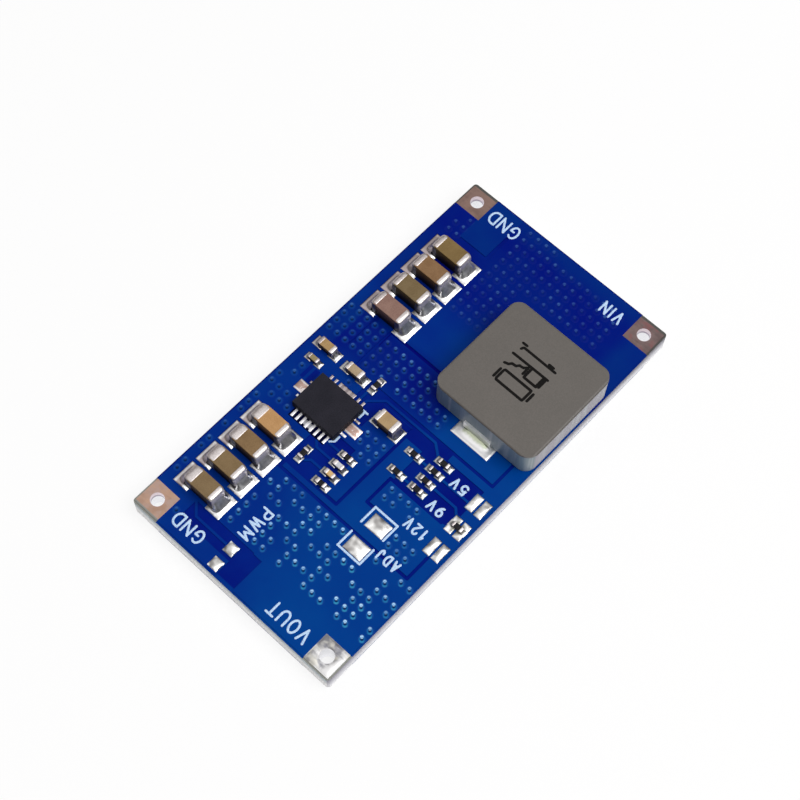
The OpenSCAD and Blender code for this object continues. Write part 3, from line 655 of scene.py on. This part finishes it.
def cup(end):
    """Metal on a chip's end: a rounded rectangle carried from the inner rim to the end wall. It swells
    past the rim, then draws in as a flattened quarter round and closes on the wall. The rim closes
    inside the chip."""
    share = np.array([0, 0, 0.04, 0.1, 0.3, 0.4, 0.5, 0.6, 0.7, 0.79, 0.87, 0.93, 0.975, 1, 1, 1])
    closing = [0] + [1] * 13 + [0.6, 0]
    edge, straight, lip = end.kind.edge, 0.3, 0.1
    turn = np.clip((share - straight) / (1 - straight), 0, 1)
    inset = edge * (1 - np.sqrt(1 - turn ** 2.2))
    inset = inset + 0.4 * wrap * np.clip(1 - share / lip, 0, 1) ** 2
    loops = rounded(end.half_width - inset, end.height / 2 - inset, edge)
    local = tube(cup_length(end) * (share - 1), loops, closing, end.low + end.height / 2)
    return laid(local, end.place, end.outward)


def pad_lines(first, last, count):
    """Places along a pad, closer together towards both rims."""
    return first + (last - first) * (1 - np.cos(np.linspace(0, np.pi, count))) / 2


def closed_pad(u, v, rise):
    """Solder over a rectangle of u and v: a skin at a rise over the pad, and the flat face under it."""
    under = np.stack(np.broadcast_arrays(u[:, None], v[None, :], pad_level), -1)
    top = under.copy()
    top[..., 2] += rise
    return [top, under]


def rim_share(u, v, width):
    """0 at the rim of a pad and 1 a width inside it, rising as a quarter round."""
    from_u, from_v = np.minimum(u - u[0], u[-1] - u), np.minimum(v - v[0], v[-1] - v)
    inwards = np.minimum(from_u[:, None], from_v[None, :])
    return np.sqrt(1 - (1 - np.clip(inwards / width, 0, 1)) ** 2)


def fillet(half_width, back, toe, side, climb, lean, hollow=1.15):
    """Solder at the end wall of a part, u outwards from the wall. Its height is a film plus the climb,
    which falls in a steep, more or less hollow slope over two thirds of the pad and a flat one to its
    rim. Under the part it is the film."""
    bite, steep = 0.06, 0.78
    u = np.concatenate([[-back, -back + 0.04], np.linspace(-bite, 0, 3),
                        toe * np.linspace(0, 1, 17)[1:] ** 0.9])
    half_v = np.concatenate([np.linspace(0, half_width - bite, 7), [half_width],
                             half_width + side * np.linspace(0, 1, 6)[1:]])
    v = np.concatenate([-half_v[:0:-1], half_v])
    core = 0.55 * half_width
    away_v = np.maximum(np.abs(v) - core, 0) / (half_width + side - core)
    away = np.hypot(np.maximum(u, 0)[:, None] / toe, away_v[None, :])
    beside = np.abs(v)[None, :] >= half_width
    fade = np.clip(1 + u[:, None] / np.where(beside, back, bite), 0, 1)
    tilt = 1 + lean * v[None, :] / half_width
    slope = (steep * np.clip(1 - away / 0.66, 0, 1) ** hollow
             + (1 - steep) * np.clip(1 - away, 0, 1))
    return closed_pad(u, v, film * rim_share(u, v, 0.09) + climb * tilt * fade * slope)


def mounted(bodies):
    """The metal cups and the solder of chips, as two lists of grids."""
    cups, joints = [], []
    for body in bodies:
        for end in chip_ends(body):
            kind = end.kind
            cups.append(cup(end))
            climb = end.height * chance.uniform(0.42, 0.5) * (0.8 if faces_back(end) else 1)
            lean = chance.uniform(-0.2, 0.2)
            grids = fillet(end.half_width, kind.metal + heel, kind.toe, kind.side, climb, lean,
                           kind.hollow)
            joints += [laid(grid, end.place, end.outward) for grid in grids]
    return cups, joints


chip_end, pen, shader = finish("chip_end", Metallic=0.75)
frost = pen.noise(9, 3.0)
# Painted shade: the metal is darker at the back row of large chips, and painted dark grey on faces
# turned to either side along X.
far = pen.axis(1).step(8.0, 8.6)
lean = pen.node("SeparateXYZ", None, {0: pen.node("TexCoord", out=1)})
dull = far.mix(srgb(206, 198, 196), srgb(172, 160, 158))
bright = far.mix(srgb(228, 222, 220), srgb(206, 196, 194))
tin = frost.step(0.3, 0.7).mix(dull, bright)
feed(shader,
     Base_Color=lean.size().step(0.5, 0.9).mix(tin, srgb(104, 102, 106)),
     Roughness=0.28 + 0.14 * frost,
     Normal=pen.bump(frost, 0.004, 0.5))


def soldered(name, dull, bright):
    """Solder: two greys in fine patches, with an uneven skin, and painted shade on the joints
    at the back of the large chips, fainter on their toes at the output's end.
    """
    material, pen, shader = finish(name, Metallic=1.0)
    skin = pen.noise(4, 4.0)
    along, across = pen.axis(0), pen.axis(1)
    toes = across.step(9.2, 9.35) * along.step(1, -1)
    shade_behind = across.step(8.5, 8.7) * (1 - 0.8 * toes)
    grey = skin.step(0.3, 0.7).mix(srgb(dull, dull, dull), srgb(bright, bright, bright))
    feed(shader,
         Base_Color=shade_behind.mix(grey, srgb(186, 174, 174)),
         Roughness=0.24 + 0.16 * skin,
         Normal=pen.bump(skin, 0.01, 0.5))
    return material


solder = soldered("solder", 214, 242)
for bank in ("output", "input"):
    caps = [cap for cap in browns if cap.startswith(bank)]
    cups, joints = mounted([cap + "_body" for cap in caps])
    for number, cap in enumerate(caps):
        body = cap + "_body"
        brown = ceramic("ceramic_" + cap, *browns[cap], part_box(body)[1].z / MM)
        slot = "ceramic_orange" if cap == "output_cap_4" else "ceramic_brown"
        piece(cap + "_block", [block(body)], brown, slot, body)
        both = cups[2 * number:2 * number + 2]
        piece(cap + "_metal", both, chip_end, "chip_end", cap + "_ends")
    piece(bank + "_cap_joints", joints, solder, "solder", "solder_" + bank + "_caps")

# Controller: a leadless chip, black epoxy moulded over a metal frame whose ends show as lands.
# It is soldered flat, on narrow pads all round and one wide pad that carries its heat away.
moulding, pen, shader = finish("moulding", Specular_IOR_Level=0.12)
fill = pen.noise(11, 4.0)
tone = pen.noise(0.8, 2.0)
feed(shader,
     Base_Color=(0.7 * fill + 0.3 * tone).step(0.3, 0.7).mix(srgb(27, 27, 35), srgb(40, 39, 48)),
     Roughness=0.55 + 0.2 * fill,
     Normal=pen.bump(fill, 0.01, 0.6))
dress(moulding, "controller_body")
dress(chip_end, "controller_lands")

low, high = (np.array(corner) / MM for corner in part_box("controller_body"))
chip_middle, chip_half = ((low + high) / 2)[:2], ((high - low) / 2)[:2]
land_rows, land_pitch, land_width, land_length = 8, 0.5, 0.25, 0.4
long_toe, short_toe, short_pitch = 0.7, 0.5, 1.6
heat_width, heat_toe = 1.0, 1.2


def drop(middle, length, width, rise, rim, dome=False):
    """Solder on an open rectangle: a film with round rims, and an uneven crown that falls off to all
    sides, as a product of two parabolas or, on a dome, as the upper half of an ellipsoid."""
    u, v = pad_lines(-length / 2, length / 2, 13), pad_lines(-width / 2, width / 2, 13)
    fall_u, fall_v = ((2 * u / length) ** 2)[:, None], ((2 * v / width) ** 2)[None, :]
    crown = (1 - fall_u) * (1 - fall_v)
    if dome:
        crown = np.sqrt(np.clip(1 - fall_u - fall_v, 0, 1))
    phase = chance.uniform(0, 2 * np.pi, 2)
    wave_u, wave_v = np.sin(4 * u / length + phase[0]), np.cos(5 * v / width + phase[1])
    uneven = 1 + 0.3 * wave_u[:, None] * wave_v[None, :]
    grids = closed_pad(u, v, film * rim_share(u, v, rim) + rise * crown * uneven)
    return [laid(grid, middle, (1, 0)) for grid in grids]


bars = []
for row in range(land_rows):
    for side in (-1, 1):
        out = chip_half[0] + (long_toe - land_length) / 2
        place = chip_middle + [side * out, (row - (land_rows - 1) / 2) * land_pitch]
        bars += drop(place, long_toe + land_length, land_width, rise=0.012, rim=0.05)
for side_x in (-1, 1):
    for side_y in (-1, 1):
        out = chip_half[1] + (short_toe - land_length) / 2
        place = chip_middle + [side_x * short_pitch / 2, side_y * out]
        bars += drop(place, land_width, short_toe + land_length, rise=0.03, rim=0.05)
place = chip_middle + [chip_half[0] + long_toe / 2, 0]
bars += drop(place, long_toe, 3 * land_pitch + land_width, rise=0.01, rim=0.08)
place = chip_middle + [-chip_half[0] - 0.45 * long_toe, land_pitch / 2]
bars += drop(place, 0.7 * long_toe, 2 * land_pitch, rise=0.002, rim=0.05)

pin_tin, pen, shader = finish("pin_tin")
skin = pen.noise(5, 3.0)
from_x = pen.axis(0) - float(chip_middle[0])
inward = from_x.step(-0.1, 0.1)
beside = from_x.size().step(chip_half[0] + 0.01, chip_half[0] + 0.03)
row = (pen.axis(1) - float(chip_middle[1])) * (1 / land_pitch)
tie = (row.math("FRACT", row) - 0.5).size().step(0.22, 0.3) * beside
# Painted light: pins on the -X side are painted near white and kept less metallic, those on the +X side
# a dimmer pinkish grey.
pins = inward.mix(srgb(250, 250, 254), srgb(184, 174, 174))
ties = inward.mix(srgb(168, 170, 176), srgb(150, 140, 142))
feed(shader,
     Base_Color=tie.mix(pins, ties),
     Metallic=0.4 + 0.55 * inward,
     Roughness=0.26 + 0.16 * skin,
     Normal=pen.bump(skin, 0.008, 0.5))
piece("controller_joints", bars, pin_tin, "solder", "solder_controller")

heat_land, pen, shader = finish("heat_land", Metallic=0.8)
thin = pen.noise(2.2, 3.0)
bared = (pen.axis(0) - float(chip_middle[0])).size().step(0.4, 0.26) * thin.step(0.38, 0.5)
feed(shader,
     Base_Color=bared.mix(srgb(236, 230, 230), srgb(190, 160, 148)),
     Roughness=0.25 + 0.25 * thin,
     Normal=pen.bump(thin, 0.03, 0.6))
heat_length = 2 * (chip_half[1] + heat_toe)
pad = drop(chip_middle, heat_width, heat_length, rise=0.02, rim=0.1)
piece("heat_joint", pad, heat_land, "solder")

# Inductor: iron powder pressed round a flat winding into one grey block, printed with its value.
# Two tinned strips come out of its walls and fold under it as feet.
core_low, core_high = (np.array(corner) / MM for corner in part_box("inductor_core"))
iron, pen, shader = finish("pressed_iron", Specular_IOR_Level=0.5)
powder = pen.noise(9, 4.0)
tone = pen.noise(0.35, 3.0)
drag = pen.noise(1.6, 3.0, (1, 1, 0.05))
face = (0.7 * powder + 0.3 * tone).step(0.3, 0.7).mix(srgb(88, 84, 79), srgb(97, 92, 87))
# Painted light on the walls: a lighter bluish grey than the top, the blue a painted reflection of the
# board, and the front wall lighter still as painted light from the front.
front = pen.axis(1).step(core_low[1] + 0.1, core_low[1] + 0.02)
wall = front.mix(srgb(114, 132, 140), srgb(142, 139, 150))
wall = drag.step(0.45, 0.75).mix(wall, srgb(166, 172, 176))
feed(shader,
     Base_Color=pen.axis(2).step(core_high[2] - 0.3, core_high[2] - 0.1).mix(wall, face),
     Roughness=0.34 + 0.12 * powder,
     Normal=pen.bump(powder, 0.006, 0.5))
dress(iron, "inductor_core")
dress(copper, "inductor_winding")

strip, pen, shader = finish("tinned_strip", Metallic=0.7)
drawn = pen.noise(5, 3.0, (1, 0.2, 1))
feed(shader,
     Base_Color=drawn.step(0.3, 0.7).mix(srgb(232, 234, 234), srgb(250, 252, 250)),
     Roughness=0.22 + 0.2 * drawn,
     Normal=pen.bump(drawn, 0.01, 0.5))
dress(strip, "inductor_terminals")

low, high = (np.array(corner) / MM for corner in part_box("inductor_terminals"))
core_middle = ((low + high) / 2)[:2]
strip_face, strip_half = (high[0] - low[0]) / 2, (high[1] - low[1]) / 2
foot_back, foot_toe, foot_side, foot_climb, foot_lean = 2.15, 0.95, 0.55, 0.12, 0.1
joints = []
for side in (-1, 1):
    grids = fillet(strip_half, foot_back, foot_toe, foot_side, foot_climb, foot_lean * side)
    joints += [laid(grid, core_middle + [side * strip_face, 0], (side, 0)) for grid in grids]
foot_solder, pen, shader = finish("foot_solder", Metallic=0.95)
skin = pen.noise(4, 4.0)
reach, spread = ((pen.axis(i) - float(core_middle[i])).size() for i in (0, 1))
at_wall = (reach + 0.3 * skin).step(strip_face + 0.65, strip_face + 0.25)
# A greenish grey in the middle of each joint, next to the wall.
green_tinge = at_wall * spread.step(strip_half, strip_half - 0.3)
feed(shader,
     Base_Color=green_tinge.mix(srgb(240, 240, 240), srgb(190, 198, 172)),
     Roughness=0.24 + 0.16 * skin,
     Normal=pen.bump(skin, 0.01, 0.5))
piece("inductor_joints", joints, foot_solder, "solder", "solder_inductor")

value_width, value_sunk, value_rise = 0.31, 0.006, 0.0066
value_lines = (
    runs((9.8, -3.65), (9.8, -6.85)) + runs((9.6, -3.5), (9.7, -3.55))
    + runs((10.08, -3.3), (10.08, -3.65)) + runs((10.02, -6.1), (10.02, -6.5))
    + runs((8.85, -3.3), (8.88, -6.85)) + runs((8.7, -6.76), (7.95, -6.76))
    + runs((8.7, -6.54), (7.82, -6.54)) + runs((7.8, -6.54), (7.8, -5.35))
    + runs((7.85, -5.3), (8.75, -5.3)) + runs((8.0, -5.05), (8.65, -5.05))
    + runs((8.6, -4.95), (8.4, -4.75), (8.35, -4.4), (8.12, -4.2), (8.08, -3.85),
           (7.85, -3.65), (7.75, -3.35))
    + runs((6.16, -3.85), (6.16, -6.5)) + runs((7.3, -3.85), (7.3, -6.5))
    + runs((6.3, -3.75), (7.15, -3.75)) + runs((6.3, -3.47), (7.1, -3.47))
    + runs((6.3, -6.55), (7.2, -6.55)) + runs((6.42, -6.86), (7.15, -6.86))
)
black_ink, pen, shader = finish("black_ink", Specular_IOR_Level=0.1)
speck = pen.noise(12, 3.0)
feed(shader,
     Base_Color=speck.step(0.35, 0.7).mix(srgb(8, 8, 8), srgb(22, 20, 18)),
     Roughness=0.5 + 0.25 * speck)
ink = inked(value_lines, value_width, core_high[2] - value_sunk, value_rise)
piece("value_print", ink, black_ink, "pressed_iron")

# Small chips: capacitors of three sizes, and resistors with a black glaze over white ceramic.
# Their ends are dipped in metal and soldered as the large ones are.
small_browns = (((152, 138, 100), (134, 120, 84)), ((172, 142, 98), (152, 122, 80)),
                ((176, 156, 128), (156, 136, 110)), ((176, 150, 112), (158, 132, 96)),
                ((214, 180, 126), (196, 160, 108)), ((206, 208, 214), (184, 188, 196)))
small_caps = ["small_cap_%d_body" % number for number in range(1, 7)]
resistors = ["resistor_%d_body" % number for number in range(1, 12)]
for number, (body, colours) in enumerate(zip(small_caps, small_browns), 1):
    brown = ceramic("ceramic_small_%d" % number, *colours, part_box(body)[1].z / MM)
    slot = "ceramic_grey" if number == 6 else "ceramic_tan"
    piece("small_cap_%d_block" % number, [block(body)], brown, slot, body)

resistor_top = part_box("resistor_1_body")[1].z / MM
glaze, pen, shader = finish("resistor_black", Specular_IOR_Level=0.2)
# Painted shade: below the glazed top, the white ceramic of the sides is painted a dark grey.
on_top = pen.axis(2).step(resistor_top - 0.1, resistor_top - 0.06)
cloud = pen.noise(7, 3.0)
black = cloud.step(0.3, 0.7).mix(srgb(12, 12, 14), srgb(26, 26, 30))
feed(shader,
     Base_Color=on_top.mix(srgb(90, 90, 88), black),
     Roughness=0.3 + 0.2 * cloud)
piece("resistor_blocks", [block(body) for body in resistors], glaze, "resistor_black", *resistors)

small_solder = soldered("small_solder", 166, 204)
cups, joints = mounted(small_caps)
piece("small_cap_metal", cups, chip_end, "chip_end", "small_cap_ends")
piece("small_cap_joints", joints, small_solder, "solder", "solder_small_caps")
cups, joints = mounted(resistors)
link_grids = 4
joints, link_joints = joints[:-link_grids], joints[-link_grids:]
piece("resistor_metal", cups, chip_end, "chip_end", "resistor_ends")
piece("resistor_joints", joints, small_solder, "solder", "solder_resistors")

# Open pads: two for the adjustment, three pairs for the voltage options and two for control.
# They carry solder that ran out into low domes. A resistor links the middle pair.
adjust_x, adjust_y, adjust_apart, adjust_length, adjust_width = -9.7, -4.87, 1.22, 1.4, 1.85
control_x, control_y, control_apart, control_side = -18.47, 2.1, 0.825, 1.0
option_pitch, option_apart, option_length, option_width = 2.46, 0.45, 1.6, 0.74
option_link = chip_ends(resistors[-1])[0].place - [0, 0.5]
drops = []
for side in (-1, 1):
    place = adjust_x + adjust_apart * side, adjust_y
    drops += drop(place, adjust_length, adjust_width, rise=0.14, rim=0.12)
    place = control_x + control_apart * side, control_y
    drops += drop(place, control_side, control_side, rise=0.1, rim=0.05, dome=True)
    for column in (-1, 0, 1):
        place = option_link + [option_pitch * column, option_apart * side]
        rise = 0.02 if column == 0 else 0.11
        drops += drop(place, option_length, option_width, rise, rim=0.1)
dull_solder, pen, shader = finish("dull_solder", Metallic=0.9)
pools = pen.noise(1.2, 1.0)
grey = pools.step(0.25, 0.65).mix(srgb(164, 162, 160), srgb(250, 250, 248))
feed(shader,
     Base_Color=pen.distance(option_link).step(0.75, 0.45).mix(grey, srgb(150, 150, 142)),
     Roughness=0.24 + 0.2 * pools,
     Normal=pen.bump(pools, 0.12, 0.8))
piece("pad_drops", drops + link_joints, dull_solder, "solder", "solder_pads")

# Studio: a white paper floor, and one soft lamp high over the front edge, a little to the input.
# The room is dim low down, bright overhead and white to the camera, which looks down from beyond
# the output end with a long lens.
floor_half = 2
floor_glow = 0.8
lamp_distance, lamp_size, lamp_power = 0.5, 0.466, 1.87
view_distance, view_lens = 138.42 * MM, 77.489
view_target = Vector((0.606, 1.308, 2.0)) * MM
view_roll = np.radians(2.523)


def back_at(azimuth, elevation):
    """The unit vector towards a viewer at an azimuth, 0 being on the -Y side, and an elevation."""
    a, e = np.radians([azimuth, elevation])
    return Vector((np.sin(a) * np.cos(e), -np.cos(a) * np.cos(e), np.sin(e)))


corners = [(floor_half * x, floor_half * y, 0) for x, y in ((-1, -1), (1, -1), (1, 1), (-1, 1))]
floor_mesh = bpy.data.meshes.new("floor")
floor_mesh.from_pydata(corners, [], [(0, 1, 2, 3)])
floor = bpy.data.objects.new("floor", floor_mesh)
bpy.context.scene.collection.objects.link(floor)
paper, pen, shader = finish("floor_paper", Roughness=0.9, Specular_IOR_Level=0.0,
                            Base_Color=srgb(246, 246, 246))
ray = pen.node("LightPath").socket.node.outputs
direct, mirrored, passed = (Shade(pen.tree, ray["Is %s Ray" % kind])
                            for kind in ("Camera", "Glossy", "Transmission"))
seen = direct + mirrored + passed
glow = pen.node("Emission", None, {"Color": (1, 1, 1, 1), "Strength": 1.0})
lit = Shade(pen.tree, shader.outputs[0])
share = floor_glow * seen.math("MINIMUM", seen, 1.0)
blend = pen.node("MixShader", None, {0: share, 1: lit, 2: glow})
pen.tree.links.new(blend.socket, pen.tree.nodes["Material Output"].inputs["Surface"])
floor.data.materials.append(paper)

lamp_back = back_at(17, 62)
lamp_turn = lamp_back.to_track_quat("Z", "Y").to_matrix().to_4x4()
lamp_data = bpy.data.lights.new("lamp", "AREA")
lamp_data.shape, lamp_data.size, lamp_data.energy = "DISK", lamp_size, lamp_power
lamp = bpy.data.objects.new("lamp", lamp_data)
lamp.matrix_world = Matrix.Translation(lamp_back * lamp_distance) @ lamp_turn
bpy.context.scene.collection.objects.link(lamp)

room = bpy.data.worlds.new("room")
room.use_nodes = True
pen = Shade(room.node_tree)
way = pen.node("TexCoord")
across, upward = (pen.node("SeparateXYZ", None, {0: way}, out=index) for index in (1, 2))
overhead = 0.6 * upward.step(0.45, 0.9) + 0.2 * upward.step(0.75, 0.95)
light = 0.05 + overhead + 0.16 * across.step(-0.2, 0.5)
light = light.math("MAXIMUM", light, pen.node("LightPath"))
background = room.node_tree.nodes["Background"]
background.inputs["Color"].default_value = (1, 0.98, 0.98, 1)
room.node_tree.links.new(light.socket, background.inputs["Strength"])
bpy.context.scene.world = room

view_back = back_at(-49.305, 64.848)
horizon = Vector((0, 0, 1)).cross(view_back).normalized()
upright = view_back.cross(horizon)
right = horizon * np.cos(view_roll) + upright * np.sin(view_roll)
view_turn = Matrix((right, view_back.cross(right), view_back)).transposed().to_4x4()
camera_data = bpy.data.cameras.new("camera")
camera_data.lens, camera_data.sensor_width, camera_data.clip_start = view_lens, 36, 0.01
camera = bpy.data.objects.new("camera", camera_data)
camera.matrix_world = Matrix.Translation(view_target + view_back * view_distance) @ view_turn
bpy.context.scene.collection.objects.link(camera)
bpy.context.scene.camera = camera
bpy.context.scene.view_settings.view_transform = "Standard"
